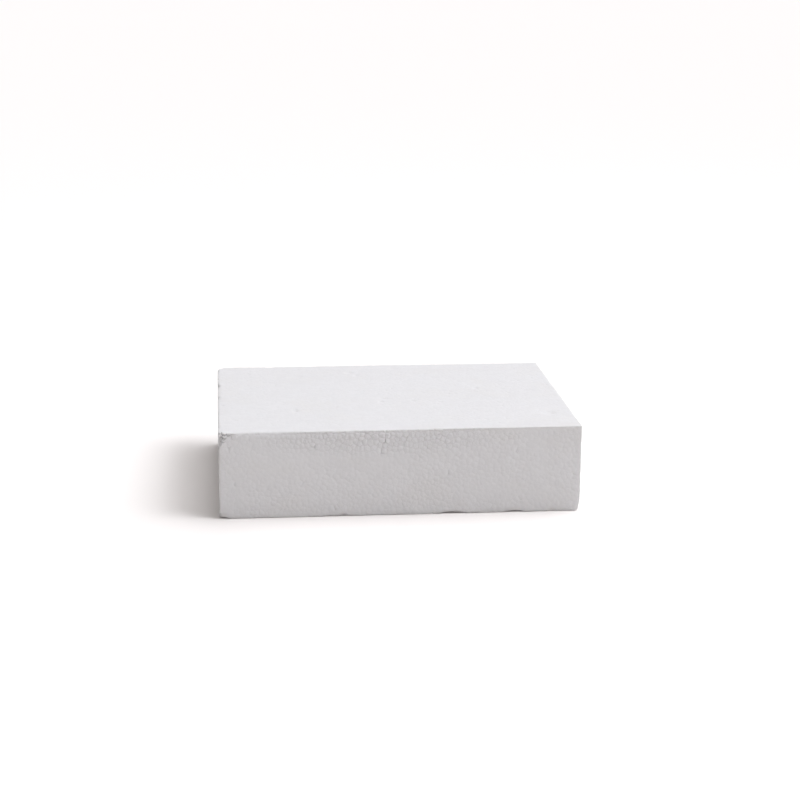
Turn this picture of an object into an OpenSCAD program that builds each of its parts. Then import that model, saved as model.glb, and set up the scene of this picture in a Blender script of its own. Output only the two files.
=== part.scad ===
// Floral foam brick: one rigid block of bead foam, cut square, with every edge slightly eased.
// Millimetres, +Z up. The origin is the middle of the bottom face. The length runs along X and the
// long front side faces -Y.

/* [Brick] */
// Length of the brick, from its left end to its right end
brick_length = 200; // [60:1:400]
// Depth of the brick, from its front side to its back side
brick_depth = 150; // [40:1:300]
// Height of the brick, from its bottom face to its top face
brick_height = 49; // [15:1:150]

/* [Edges] */
// Radius of the four upright corners, where a side meets an end
corner_radius = 0.8; // [0.6:0.1:7]
// Radius of the edges all round the top face and the bottom face
edge_radius = 0.6; // [0.2:0.1:2]

/* [Hidden] */

$fn = 48;

half_length = brick_length / 2;
half_depth = brick_depth / 2;
// The rim of a corner can't be rounder than the corner itself.
rim_radius = min(edge_radius, corner_radius);
foam_white = [0.93, 0.93, 0.94];

// A rectangle with rounded corners: its width is centred on X, and its height runs up from Y = 0.
module eased_rectangle(width, height, radius) {
  difference() {
    translate([-width / 2, 0])
      square([width, height]);
    for (x = [-width / 2, width / 2 - radius], y = [0, height - radius])
      translate([x, y])
        square(radius);
  }
  for (x = [radius - width / 2, width / 2 - radius], y = [radius, height - radius])
    translate([x, y])
      circle(r = radius);
}

// The brick between its two ends, short of the upright corners: a bar along X.
module middle_along_length() {
  bar_length = brick_length - 2 * corner_radius;
  translate([-bar_length / 2, 0, 0])
    rotate([90, 0, 90])
      linear_extrude(height = bar_length)
        eased_rectangle(brick_depth, brick_height, rim_radius);
}

// The brick between its front and its back, short of the upright corners: a bar along Y.
module middle_along_depth() {
  bar_length = brick_depth - 2 * corner_radius;
  translate([0, bar_length / 2, 0])
    rotate([90, 0, 0])
      linear_extrude(height = bar_length)
        eased_rectangle(brick_length, brick_height, rim_radius);
}

// One upright corner: a round post whose two rims are eased like the brick's edges.
module corner_post() {
  rotate_extrude()
    intersection() {
      eased_rectangle(2 * corner_radius, brick_height, rim_radius);
      square([corner_radius, brick_height]);
    }
}

module foam_brick() {
  color(foam_white)
    union() {
      middle_along_length();
      middle_along_depth();
      for (x = [-1, 1], y = [-1, 1])
        translate([x * (half_length - corner_radius), y * (half_depth - corner_radius), 0])
          corner_post();
    }
}

foam_brick();
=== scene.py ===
"""A floral foam brick: one rigid block of white bead foam, rebuilt bead by bead over its CAD solid.

The block's place and size come from the CAD node. Bead centres are strewn over its six sides, each
bead gets the cell round its centre, and every cell is modelled: a slightly tilted crown, a ring of
shoulders, and a groove where it is fused to its neighbours. The sides share the beads along the
block's edges, so the result is one closed mesh.
"""

import math
import random

import bpy
import numpy as np
from mathutils import Matrix, Vector, noise
from mathutils.geometry import delaunay_2d_cdt


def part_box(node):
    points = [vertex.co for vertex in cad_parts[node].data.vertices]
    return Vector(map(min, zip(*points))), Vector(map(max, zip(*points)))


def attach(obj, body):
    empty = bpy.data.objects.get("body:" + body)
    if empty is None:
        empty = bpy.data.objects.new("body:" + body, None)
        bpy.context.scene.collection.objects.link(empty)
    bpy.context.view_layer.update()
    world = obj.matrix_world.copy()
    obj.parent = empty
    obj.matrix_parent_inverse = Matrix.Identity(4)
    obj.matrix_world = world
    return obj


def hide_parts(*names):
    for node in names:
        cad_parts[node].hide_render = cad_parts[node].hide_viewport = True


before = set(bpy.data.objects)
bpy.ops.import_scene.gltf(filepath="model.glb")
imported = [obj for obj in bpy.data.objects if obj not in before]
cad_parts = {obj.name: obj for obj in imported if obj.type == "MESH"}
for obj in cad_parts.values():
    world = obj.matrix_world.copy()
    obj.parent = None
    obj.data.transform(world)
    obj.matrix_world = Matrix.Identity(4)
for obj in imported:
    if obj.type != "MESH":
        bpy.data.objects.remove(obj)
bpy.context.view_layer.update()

MM = 0.001
LOW, HIGH = [np.array(corner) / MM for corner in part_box("foam_brick")]
MIDDLE = (LOW + HIGH) / 2
SIZE = HIGH - LOW

# The block's edges, in millimetres
CORNER_RADIUS = 0.8  # of the upright corners
EDGE_RADIUS = 0.6  # of the edges round the top and the bottom
CRISP_ANGLE = 50.0  # where two faces turn by more than this, in degrees, the edge between them is crisp

# The beads, with their lengths in millimetres
BEAD_APART = (1.8, 3.6)  # least and greatest room that a bead wants, centre to centre
EDGE_BEAD_APART = 2.8
EDGE_BEAD_JITTER = 0.3  # how far an edge bead may stray along its edge, as a share of that spacing
TRIES_PER_BEAD = 40
CORNER_CLEARANCE = 0.1  # keeps a cell's corner off its triangle's sides, as a share of the triangle
SHOULDER_WIDTH = 0.42
SHOULDER_LIMIT = 0.45  # the widest shoulder, as a share of the way from the cell's corner to its crown
SHOULDER_DROP = 0.035
GROOVE_DEPTH = (0.08, 0.22)
PINHOLE_DEPTH = (0.5, 0.9)
PINHOLE_SHARE = 0.008
BEAD_RECESS = 0.07  # how far a cut bead may lie below the block's true face
EDGE_BEAD_RECESS = 0.25  # the same for the beads along the edges, which tear more
LOST_BEAD_DEPTH = (0.7, 1.3)
LOST_BEAD_SHARE = 0.0025
SOCKET_SIDE = 0.6  # depth of a lost bead's socket at its shoulders, as a share of that in its middle
BEAD_TILT = 0.022  # spread of the slope of a bead's cut face
WAVE_DEPTH = 0.16  # the faces are this far from flat
WAVE_LENGTH = 38.0
LUMP_DEPTH = 0.2  # uneven ground under the beads, where their relief is full
LUMP_LENGTH = 8.0
SAME_PLACE = 1e-5  # beads nearer than this would count as one
TINY = 1e-9  # keeps a division by a length of nothing harmless
SEED = 41

# Wear, with its lengths in millimetres: where it is, how far it reaches each way, and how deep it goes
WEAR_TURN = 6.0  # nearer to an edge than this, wear goes in slantwise
LEFT, FRONT, BOTTOM = LOW
RIGHT, BACK, TOP = HIGH
MIDDLE_X, MIDDLE_Y = MIDDLE[:2]
WORN = [
    ((LEFT, FRONT, BOTTOM), (6, 4, 3.5), 1.3),
    ((LEFT, FRONT, TOP - 3), (1.7, 2.6, 5), 1.5),
    ((LEFT + 24, FRONT, TOP), (34, 1.9, 1.9), 0.9),
    ((LEFT + 40, FRONT, TOP), (90, 2.4, 2.4), 0.5),
    ((LEFT, BACK, TOP), (4, 5, 3.5), 1.0),
    ((RIGHT, FRONT, BOTTOM), (2.5, 5, 6), 1.0),
    ((RIGHT, BACK, BOTTOM), (6, 9, 6), 1.3),
    ((MIDDLE_X + 28, FRONT, BOTTOM), (8, 3, 1.8), 1.0),
    ((MIDDLE_X + 63, FRONT, BOTTOM), (6, 3, 1.6), 0.9),
    ((MIDDLE_X - 32, FRONT, BOTTOM), (2.5, 2, 2), 1.2),
    ((MIDDLE_X + 38, BACK - 8.5, TOP), (9, 2.2, 2), 0.25),
    ((MIDDLE_X + 64, BACK - 10, TOP), (7, 2.2, 2), 0.25),
    ((MIDDLE_X + 84, MIDDLE_Y + 5, TOP), (6, 2.5, 2), 0.2),
    ((MIDDLE_X + 30, MIDDLE_Y + 41, TOP), (2.5, 2, 2), 0.25),
    ((LEFT, MIDDLE_Y + 29, TOP), (2, 5, 2), 0.5),
    ((LEFT, MIDDLE_Y + 1, TOP), (2, 4, 2), 0.4),
    ((MIDDLE_X - 41, BACK, BOTTOM), (7, 3, 4), 0.8),
    ((MIDDLE_X - 68, BACK, TOP), (3, 2, 2), 0.5),
    ((MIDDLE_X + 12, BACK, TOP - 21), (5, 3, 3), 0.5),
    ((RIGHT, MIDDLE_Y + 18, 21), (2, 7, 4), 0.5),
]
STRAY_DENTS = 26
STRAY_DENT_REACH = (1.5, 5.5)
STRAY_DENT_DEPTH = (0.15, 0.55)
CRACKS = [
    ((LEFT + 0.8, FRONT, TOP - 1.5), (2.6, 2.5, 5.5), 3.4),
    ((LEFT + 5, FRONT, TOP - 1), (4, 2.5, 1.6), 1.6),
]
CRACK_OPENING = 0.4  # how far the shoulders beside a crack follow it
DARK_EDGE_REACH = 1.6  # how far the darkening along the edges reaches in from them

# How strongly the beads stand out, as a share of the depths above
PLANED_RELIEF = 0.26  # on the top and the bottom
SIDE_RELIEF = (0.36, 0.6)  # in the calmest and the liveliest patches of the sides
PATCH_SIZE = 30.0
PATCH_SHIFT = (7.3, 1.9, 4.1)  # picks another part of the noise than the waves and lumps use
PATCH_SWING = 0.4  # the noise values past which a patch is fully calm or lively
COARSE_BANDS = [
    ((MIDDLE_X - 8, FRONT, TOP - 5), (90, 5, 13), 1.35),
    ((MIDDLE_X + 30, BACK, BOTTOM + 9), (80, 5, 12), 1.1),
]

# Linear colours
FOAM_DULL = (0.748, 0.742, 0.749)
FOAM_BRIGHT = (0.772, 0.767, 0.774)
# painted shade for the bead seams, strongest where the beads stand out most
SEAM_SHADE = (0.60, 0.585, 0.585)
AGED = (0.735, 0.715, 0.69)
# the colour that the foam is darkened towards within a short way of the block's edges
DARK_EDGE_COLOUR = (0.66, 0.645, 0.635)
FLOOR_WHITE = (0.995, 0.965, 0.945)
KEY_TINT = (0.975, 0.985, 1.02)
SKY_TINT = (1.0, 0.97, 0.96)

# The studio's floor and softbox, in metres
FLOOR_HALF = 60
SOFTBOX_PLACE = Vector((0.8, -0.15, 0.9))
SOFTBOX_AIM = Vector((0, 0, 0.03))
SOFTBOX_SIZE = 0.7

# The sky
SKY_STRENGTH = 0.9  # straight overhead
SKY_FADE = 3  # the power of the height above the horizon that the sky's light follows


# ---------------------------------------------------------------- camera


def add_camera():
    """A long lens from the front left and a little above, as a catalogue picture is taken."""
    lens, distance = 80.8, 1057.0
    yaw, pitch, roll = [math.radians(angle) for angle in (5.78, 14.69, 0.43)]
    brick_in_view = Vector((-6.44, -20.76, -distance))  # the block's middle, in the camera's axes
    turn = (
        Matrix.Rotation(-yaw, 3, "Z")
        @ Matrix.Rotation(math.pi / 2 - pitch, 3, "X")
        @ Matrix.Rotation(roll, 3, "Z")
    )
    data = bpy.data.cameras.new("camera")
    data.lens = lens
    data.sensor_width = 36
    data.clip_start, data.clip_end = 0.01, 200
    camera = bpy.data.objects.new("camera", data)
    camera.rotation_euler = turn.to_euler()
    camera.location = (Vector(MIDDLE) - turn @ brick_in_view) * MM
    bpy.context.scene.collection.objects.link(camera)
    bpy.context.scene.camera = camera


# ---------------------------------------------------------------- beads and their cells


def scatter(width, height, taken, rng):
    """Bead centres strewn over a rectangle, each with its own room, clear of the beads in taken."""
    cell = BEAD_APART[1]
    grid = {}

    def neighbours(u, v):
        column, row = int(u // cell), int(v // cell)
        for i in (-1, 0, 1):
            for j in (-1, 0, 1):
                yield from grid.get((column + i, row + j), ())

    def place(u, v, room):
        grid.setdefault((int(u // cell), int(v // cell)), []).append((u, v, room))

    for u, v in taken:
        place(u, v, EDGE_BEAD_APART)
    mean_room = sum(BEAD_APART) / 2
    found = []
    for _ in range(int(TRIES_PER_BEAD * width * height / mean_room**2)):
        u, v = rng.uniform(0, width), rng.uniform(0, height)
        room = rng.uniform(*BEAD_APART)
        if all(math.hypot(u - a, v - b) >= (room + c) / 2 for a, b, c in neighbours(u, v)):
            place(u, v, room)
            found.append((u, v))
    return found


def edge_beads(rng):
    """Bead centres on the block's 8 corners and along its 12 edges, as points of the sharp box."""
    ends = [(LOW[axis], HIGH[axis]) for axis in range(3)]
    beads = [(x, y, z) for x in ends[0] for y in ends[1] for z in ends[2]]
    for axis in range(3):
        first, second = [other for other in range(3) if other != axis]
        gaps = round(SIZE[axis] / EDGE_BEAD_APART)
        for a in ends[first]:
            for b in ends[second]:
                for step in range(1, gaps):
                    along = step + rng.uniform(-EDGE_BEAD_JITTER, EDGE_BEAD_JITTER)
                    bead = [0.0, 0.0, 0.0]
                    bead[first], bead[second] = a, b
                    bead[axis] = LOW[axis] + SIZE[axis] * along / gaps
                    beads.append(tuple(bead))
    return beads


def side_triangles(beads, axis, high_side, rng):
    """Adds one side's own beads to the list, and returns the triangles that join all its beads."""
    across, up = (axis + 1) % 3, (axis + 2) % 3
    if not high_side:
        across, up = up, across  # so that across, up and outwards are right-handed
    level = (HIGH if high_side else LOW)[axis]
    shared = [i for i, bead in enumerate(beads) if bead[axis] == level]
    rim = [(beads[i][across] - LOW[across], beads[i][up] - LOW[up]) for i in shared]
    inner = scatter(SIZE[across], SIZE[up], rim, rng)
    for u, v in inner:
        bead = [0.0, 0.0, 0.0]
        bead[axis], bead[across], bead[up] = level, LOW[across] + u, LOW[up] + v
        beads.append(tuple(bead))
    places = shared + list(range(len(beads) - len(inner), len(beads)))
    flat = [Vector(uv) for uv in rim + inner]
    triangles = delaunay_2d_cdt(flat, [], [], 0, SAME_PLACE)[2]
    turned = []
    for a, b, c in triangles:
        (ua, va), (ub, vb), (uc, vc) = flat[a], flat[b], flat[c]
        leftwards = (ub - ua) * (vc - va) > (uc - ua) * (vb - va)
        turned.append(tuple(places[i] for i in ((a, b, c) if leftwards else (a, c, b))))
    return turned


def cells_round_beads(beads, triangles):
    """For each bead, the corners of its cell in order round it, and the joints between edge beads.

    Corner i lies in triangle i. The corners after those are the joints: each lies on an edge of the
    block, between two beads of that edge.
    """
    joints = {}
    after = {}
    for index, (a, b, c) in enumerate(triangles):
        after[a, b] = (index, c)
        after[b, c] = (index, a)
        after[c, a] = (index, b)
    starts = {}
    for a, b in after:
        starts.setdefault(a, b)
    rings = []
    for bead in range(len(starts)):
        ring, spoke = [], starts[bead]
        while not ring or spoke != starts[bead]:
            index, spoke = after[bead, spoke]
            ring.append(index)
            shared = (beads[bead] == beads[spoke]) & ((beads[bead] == LOW) | (beads[bead] == HIGH))
            if shared.sum() == 2:  # both beads lie on the same two sides, so on one edge of the block
                joint = joints.setdefault(frozenset((bead, spoke)), len(joints))
                ring.append(len(triangles) + joint)
        rings.append(ring)
    return rings, np.array([sorted(pair) for pair in joints])


def cell_corners(beads, triangles):
    """Where three beads meet: their circumcentre, kept inside their triangle."""
    a, b, c = [beads[triangles[:, i]] for i in range(3)]
    opposite = [np.sum((q - r) ** 2, axis=1) for q, r in ((b, c), (c, a), (a, b))]
    total = sum(opposite)
    weights = np.stack([side * (total - 2 * side) for side in opposite], axis=1)
    weights /= weights.sum(axis=1, keepdims=True)
    weights = np.maximum(weights, CORNER_CLEARANCE)
    weights /= weights.sum(axis=1, keepdims=True)
    return sum(weights[:, i, None] * corner for i, corner in enumerate((a, b, c)))


def cell_faces(rings):
    """Round each bead, the triangles of its crown and the quads from its shoulders to its corners.

    The points are numbered with all the beads first, then the shoulders, ring by ring, then the
    corners.
    """
    first_corner = len(rings) + sum(len(ring) for ring in rings)
    faces = []
    at = len(rings)
    for bead, ring in enumerate(rings):
        count = len(ring)
        for i in range(count):
            j = (i + 1) % count
            faces.append((bead, at + i, at + j))
            faces.append((at + i, first_corner + ring[i], first_corner + ring[j], at + j))
        at += count
    return faces


# ---------------------------------------------------------------- the block's form


def eased(points):
    """Rounds the sharp box's points over its corners and edges. Returns the places and normals."""
    inner = SIZE[:2] / 2 - CORNER_RADIUS
    plan = points[:, :2] - MIDDLE[:2]
    core = np.clip(plan, -inner, inner)
    out = plan - core
    reach = np.abs(out).max(axis=1, keepdims=True)
    heading = out / np.maximum(np.hypot(out[:, :1], out[:, 1:]), TINY)
    inset = CORNER_RADIUS - reach
    to_top, to_bottom = HIGH[2] - points[:, 2:], points[:, 2:] - LOW[2]
    upwards = np.where(to_top < to_bottom, 1.0, -1.0)
    level = np.minimum(to_top, to_bottom)

    outward_lean = np.maximum(EDGE_RADIUS - inset, 0)
    upward_lean = np.maximum(EDGE_RADIUS - level, 0)
    on_edge = (outward_lean > 0) & (upward_lean > 0)
    length = np.maximum(np.hypot(outward_lean, upward_lean), TINY)
    outward, upward = outward_lean / length, upward_lean / length
    inset = np.where(on_edge, EDGE_RADIUS * (1 - outward), inset)
    level = np.where(on_edge, EDGE_RADIUS * (1 - upward), level)

    beside = reach > 0
    places = np.empty_like(points)
    places[:, :2] = MIDDLE[:2] + np.where(beside, core + heading * (CORNER_RADIUS - inset), plan)
    places[:, 2:] = np.where(upwards > 0, HIGH[2] - level, LOW[2] + level)
    normals = np.concatenate([heading * outward, upwards * upward], axis=1)
    return places, normals / np.maximum(np.linalg.norm(normals, axis=1, keepdims=True), TINY)


def outwards(points):
    """The way that wear comes from: straight on to a face, and slantwise on to an edge or corner."""
    away = points - np.clip(points, LOW + WEAR_TURN, HIGH - WEAR_TURN)
    return away / np.linalg.norm(away, axis=1, keepdims=True)


def hollow(points, centre, reach, depth):
    """The depth of one rounded hollow at each point."""
    away = np.linalg.norm((points - centre) / reach, axis=1)
    return depth * np.clip(1 - away**2, 0, 1)


def noise_at(points, length, shift=(0, 0, 0)):
    """Smooth noise from about -1 to 1 at each point, with features about as long as length."""
    shift = Vector(shift)
    return np.array([noise.noise(Vector(point) / length + shift) for point in points])


def wear(points, chance):
    """How far each point of the sharp box is worn away: named places, stray dents and slow waves."""
    depth = np.zeros(len(points))
    for centre, reach, most in WORN:
        depth = np.maximum(depth, hollow(points, centre, reach, most))
    for _ in range(STRAY_DENTS):
        centre = points[chance.integers(len(points))]
        reach = chance.uniform(*STRAY_DENT_REACH, 3)
        depth = np.maximum(depth, hollow(points, centre, reach, chance.uniform(*STRAY_DENT_DEPTH)))
    return depth + WAVE_DEPTH * np.clip(0.5 + noise_at(points, WAVE_LENGTH), 0, 1)


def cracks(points, opening):
    """How deep the cracks are at each point. Opening is each point's share of the full depth."""
    depth = np.zeros(len(points))
    for centre, reach, most in CRACKS:
        depth = np.maximum(depth, opening * hollow(points, centre, reach, most))
    return depth


def relief(points, normals):
    """How strongly the beads stand out: little on the planed faces, in patches on the sides."""
    patches = noise_at(points, PATCH_SIZE, PATCH_SHIFT)
    sides = np.interp(patches, (-PATCH_SWING, PATCH_SWING), SIDE_RELIEF)
    for centre, reach, most in COARSE_BANDS:
        sides = np.maximum(sides, hollow(points, centre, reach, most))
    planed = normals[:, 2] ** 2
    return planed * PLANED_RELIEF + (1 - planed) * sides


def lumps(points):
    """The slow unevenness that the beads stand on."""
    return LUMP_DEPTH * (0.5 + 0.5 * noise_at(points, LUMP_LENGTH))


def add_values(mesh, name, values):
    """Stores one number per point, for the material to read."""
    layer = mesh.attributes.new(name, "FLOAT", "POINT")
    layer.data.foreach_set("value", values.astype(np.float32))


def build_brick():
    """The closed mesh of cells. Each bead has a crown, a ring of shoulders and a ring of corners."""
    rng = random.Random(SEED)
    beads = edge_beads(rng)
    triangles = []
    for axis in range(3):
        for high_side in (False, True):
            triangles += side_triangles(beads, axis, high_side, rng)
    beads, triangles = np.array(beads), np.array(triangles)
    rings, joints = cells_round_beads(beads, triangles)
    corners = np.concatenate([cell_corners(beads, triangles), beads[joints].mean(axis=1)])

    def where_met(values):
        """The beads' values at the cells' corners, where the beads meet."""
        return np.concatenate([values[triangles].mean(axis=1), values[joints].mean(axis=1)])

    owner = np.array([bead for bead, ring in enumerate(rings) for _ in ring])
    corner = np.array([index for ring in rings for index in ring])
    to_crown = beads[owner] - corners[corner]
    span = np.linalg.norm(to_crown, axis=1, keepdims=True)
    shoulders = corners[corner] + to_crown * np.minimum(SHOULDER_WIDTH / span, SHOULDER_LIMIT)

    chance = np.random.default_rng(SEED)
    on_edges = np.sum((beads == LOW) | (beads == HIGH), axis=1) > 1
    recess = chance.random(len(beads)) ** 2
    recess *= np.where(on_edges, EDGE_BEAD_RECESS, BEAD_RECESS)
    slope = chance.normal(0, BEAD_TILT, (len(beads), 3))
    tilt = np.sum(slope[owner] * (shoulders - beads[owner]), axis=1)
    groove = chance.uniform(*GROOVE_DEPTH, len(corners))
    pinhole = chance.random(len(corners)) < PINHOLE_SHARE
    groove = np.where(pinhole, chance.uniform(*PINHOLE_DEPTH, len(corners)), groove)
    lost = chance.random(len(beads)) < LOST_BEAD_SHARE
    socket = np.where(lost, chance.uniform(*LOST_BEAD_DEPTH, len(beads)), 0)

    crown_depth = recess + socket
    shoulder_depth = np.maximum(recess[owner] + SHOULDER_DROP + tilt, 0) + SOCKET_SIDE * socket[owner]
    groove_depth = where_met(recess) + groove
    base = np.concatenate([beads, shoulders, corners])
    places, normals = eased(base)
    strength = relief(base, normals)
    depth = strength * (np.concatenate([crown_depth, shoulder_depth, groove_depth]) + lumps(base))
    opening = np.repeat([0, CRACK_OPENING, 1], [len(beads), len(shoulders), len(corners)])
    worn = np.maximum(wear(base, chance), cracks(base, opening))
    places = (places - normals * depth[:, None] - outwards(base) * worn[:, None]) * MM

    mesh = bpy.data.meshes.new("foam_block")
    mesh.from_pydata(places.tolist(), [], cell_faces(rings))
    mesh.update()
    mesh.shade_smooth()
    mesh.set_sharp_from_angle(angle=math.radians(CRISP_ANGLE))

    is_groove = np.repeat([0, 1], [len(beads) + len(shoulders), len(corners)])
    from_planes = np.minimum(np.abs(base - LOW), np.abs(HIGH - base))
    from_edge = np.sort(from_planes, axis=1)[:, 1]
    tone = chance.random(len(beads))
    add_values(mesh, "groove", is_groove)
    # darker within a short way of every edge of the block
    add_values(mesh, "dark_edges", np.clip(DARK_EDGE_REACH - from_edge, 0, 1))
    add_values(mesh, "bead_tone", np.concatenate([tone, tone[owner], where_met(tone)]))
    add_values(mesh, "relief", strength)

    brick = bpy.data.objects.new("foam_block", mesh)
    bpy.context.scene.collection.objects.link(brick)
    return brick


# ---------------------------------------------------------------- materials


class Graph:
    """A short way to write a node graph."""

    def __init__(self, name):
        self.material = bpy.data.materials.new(name)
        self.material.use_nodes = True
        self.nodes = self.material.node_tree.nodes
        self.links = self.material.node_tree.links
        self.shader = self.nodes["Principled BSDF"]

    def add(self, kind, inputs=None, **settings):
        node = self.nodes.new("ShaderNode" + kind)
        for name, value in settings.items():
            setattr(node, name, value)
        for name, value in (inputs or {}).items():
            self.put(value, node.inputs[name])
        return node

    def put(self, value, socket):
        if isinstance(value, bpy.types.NodeSocket):
            self.links.new(value, socket)
        else:
            socket.default_value = value

    def places(self, scale):
        """Object coordinates in millimetres over scale, which may differ along each axis."""
        coordinates = self.add("TexCoord").outputs["Object"]
        stretch = tuple(1 / (MM * step) for step in scale)
        mapping = self.add("Mapping", {"Vector": coordinates, "Scale": stretch})
        return mapping.outputs["Vector"]

    def noise(self, scale, detail=2.0):
        vector = self.places(scale)
        return self.add("TexNoise", {"Vector": vector, "Scale": 1.0, "Detail": detail}).outputs["Fac"]

    def attribute(self, name):
        return self.add("Attribute", attribute_name=name).outputs["Fac"]

    def between(self, value, low, high, out_low=0.0, out_high=1.0):
        """Turns the range from low to high into the range from out_low to out_high."""
        limits = {"Value": value, "From Min": low, "From Max": high, "To Min": out_low, "To Max": out_high}
        return self.add("MapRange", limits).outputs["Result"]

    def mix(self, share, first, second):
        node = self.add("Mix", {"Factor": share}, data_type="RGBA")
        self.put(first, node.inputs[6])  # inputs 6 and 7 are the node's two colours
        self.put(second, node.inputs[7])
        return node.outputs[2]

    def bump(self, height, depth, strength, below=None):
        """A bump of the given depth in millimetres, on top of the normal below."""
        node = self.add("Bump", {"Height": height, "Distance": depth * MM, "Strength": strength})
        if below is not None:
            self.put(below, node.inputs["Normal"])
        return node.outputs["Normal"]


def foam_material():
    """White bead foam: beads of slightly different whites, painted shade in the seams, darker edges, fine
    cells and wire marks.
    """
    graph = Graph("bead_foam")
    tone = graph.attribute("bead_tone")
    seam = graph.attribute("groove")
    strength = graph.attribute("relief")
    cells = graph.noise((0.5, 0.5, 0.5), detail=3)
    blotches = graph.noise((26, 26, 19), detail=2)
    wire_marks = graph.noise((60, 60, 1.4), detail=2)
    pebbles = graph.noise((1.3, 1.3, 1.3), detail=1)

    colour = graph.mix(tone, (*FOAM_DULL, 1), (*FOAM_BRIGHT, 1))
    dull = graph.between(cells, low=0.35, high=0.7, out_high=0.4)
    colour = graph.mix(dull, colour, (*FOAM_DULL, 1))
    aged = graph.between(blotches, low=0.5, high=0.75, out_high=0.22)
    colour = graph.mix(aged, colour, (*AGED, 1))
    # Painted shade: the seams darken with their depth, as shade would fall into the grooves
    depth = graph.add("Math", {0: seam, 1: strength}, operation="MULTIPLY").outputs["Value"]
    shaded = graph.between(depth, low=0.2, high=1.0, out_high=0.45)
    colour = graph.mix(shaded, colour, (*SEAM_SHADE, 1))
    # Darker towards the block's edges
    dark_edges = graph.between(graph.attribute("dark_edges"), low=0.2, high=1.0, out_high=0.5)
    colour = graph.mix(dark_edges, colour, (*DARK_EDGE_COLOUR, 1))
    graph.put(colour, graph.shader.inputs["Base Color"])
    roughness = graph.between(cells, low=0.3, high=0.7, out_low=0.52, out_high=0.78)
    graph.put(roughness, graph.shader.inputs["Roughness"])

    voronoi = graph.add("TexVoronoi", {"Vector": graph.places((0.8, 0.8, 0.8)), "Scale": 1.0})
    normal = graph.bump(wire_marks, depth=0.08, strength=strength)
    normal = graph.bump(pebbles, depth=0.34, strength=strength, below=normal)
    normal = graph.bump(voronoi.outputs["Distance"], depth=0.05, strength=strength, below=normal)
    normal = graph.bump(cells, depth=0.05, strength=strength, below=normal)
    graph.put(normal, graph.shader.inputs["Normal"])
    graph.shader.inputs["Subsurface Weight"].default_value = 0.2
    graph.shader.inputs["Subsurface Radius"].default_value = (1.0, 0.95, 0.9)
    graph.shader.inputs["Subsurface Scale"].default_value = 1.2 * MM
    graph.shader.inputs["Specular IOR Level"].default_value = 0.35
    return graph.material


def plain_material(name, colour):
    material = bpy.data.materials.new(name)
    material.use_nodes = True
    nodes, links = material.node_tree.nodes, material.node_tree.links
    nodes.remove(nodes["Principled BSDF"])
    diffuse = nodes.new("ShaderNodeBsdfDiffuse")
    diffuse.inputs["Color"].default_value = (*colour, 1)
    links.new(diffuse.outputs["BSDF"], nodes["Material Output"].inputs["Surface"])
    return material


# ---------------------------------------------------------------- studio


def add_floor():
    half = FLOOR_HALF
    corners = [(-half, -half, 0), (half, -half, 0), (half, half, 0), (-half, half, 0)]
    mesh = bpy.data.meshes.new("floor")
    mesh.from_pydata(corners, [], [(0, 1, 2, 3)])
    floor = bpy.data.objects.new("floor", mesh)
    bpy.context.scene.collection.objects.link(floor)
    mesh.materials.append(plain_material("white_floor", FLOOR_WHITE))


def heading(azimuth, elevation):
    """The unit vector towards a light. The azimuth is counted from the right towards the back."""
    turn, rise = math.radians(azimuth), math.radians(elevation)
    return Vector((math.cos(turn) * math.cos(rise), math.sin(turn) * math.cos(rise), math.sin(rise)))


def add_lamp(name, kind, towards, energy):
    """A lamp that shines back along the vector towards it."""
    data = bpy.data.lights.new(name, kind)
    data.energy = energy
    data.color = KEY_TINT
    lamp = bpy.data.objects.new(name, data)
    lamp.rotation_euler = towards.to_track_quat("Z", "Y").to_euler()
    bpy.context.scene.collection.objects.link(lamp)
    return lamp


def add_lights():
    """Two broad soft lights on the right, and a weak softbox near the block."""
    back_key = add_lamp("back_key", "SUN", heading(azimuth=35, elevation=58), energy=1.546)
    back_key.data.angle = math.radians(60)
    front_key = add_lamp("front_key", "SUN", heading(azimuth=-25, elevation=50), energy=1.062)
    front_key.data.angle = math.radians(30)
    softbox = add_lamp("softbox", "AREA", SOFTBOX_PLACE - SOFTBOX_AIM, energy=2.18)
    softbox.location = SOFTBOX_PLACE
    softbox.data.shape = "SQUARE"
    softbox.data.size = SOFTBOX_SIZE


def add_sky():
    """White where the camera sees it. The light that it gives fades from the zenith downwards."""
    world = bpy.data.worlds.new("studio")
    bpy.context.scene.world = world
    world.use_nodes = True
    nodes, links = world.node_tree.nodes, world.node_tree.links

    def calculate(operation, value, constant):
        node = nodes.new("ShaderNodeMath")
        node.operation = operation
        links.new(value, node.inputs[0])
        node.inputs[1].default_value = constant
        return node.outputs["Value"]

    split = nodes.new("ShaderNodeSeparateXYZ")
    links.new(nodes.new("ShaderNodeTexCoord").outputs["Generated"], split.inputs["Vector"])
    above = calculate("MAXIMUM", split.outputs["Z"], 0)
    fade = calculate("POWER", above, SKY_FADE)
    sky = nodes["Background"]
    sky.inputs["Color"].default_value = (*SKY_TINT, 1)
    links.new(calculate("MULTIPLY", fade, SKY_STRENGTH), sky.inputs["Strength"])
    backdrop = nodes.new("ShaderNodeBackground")
    backdrop.inputs["Color"].default_value = (1, 1, 1, 1)
    seen = nodes.new("ShaderNodeMixShader")
    links.new(nodes.new("ShaderNodeLightPath").outputs["Is Camera Ray"], seen.inputs["Fac"])
    links.new(sky.outputs["Background"], seen.inputs[1])
    links.new(backdrop.outputs["Background"], seen.inputs[2])
    links.new(seen.outputs["Shader"], nodes["World Output"].inputs["Surface"])


add_camera()
brick = build_brick()
brick.data.materials.append(foam_material())
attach(brick, "root")
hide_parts("foam_brick")
add_floor()
add_lights()
add_sky()
bpy.context.scene.view_settings.view_transform = "Standard"
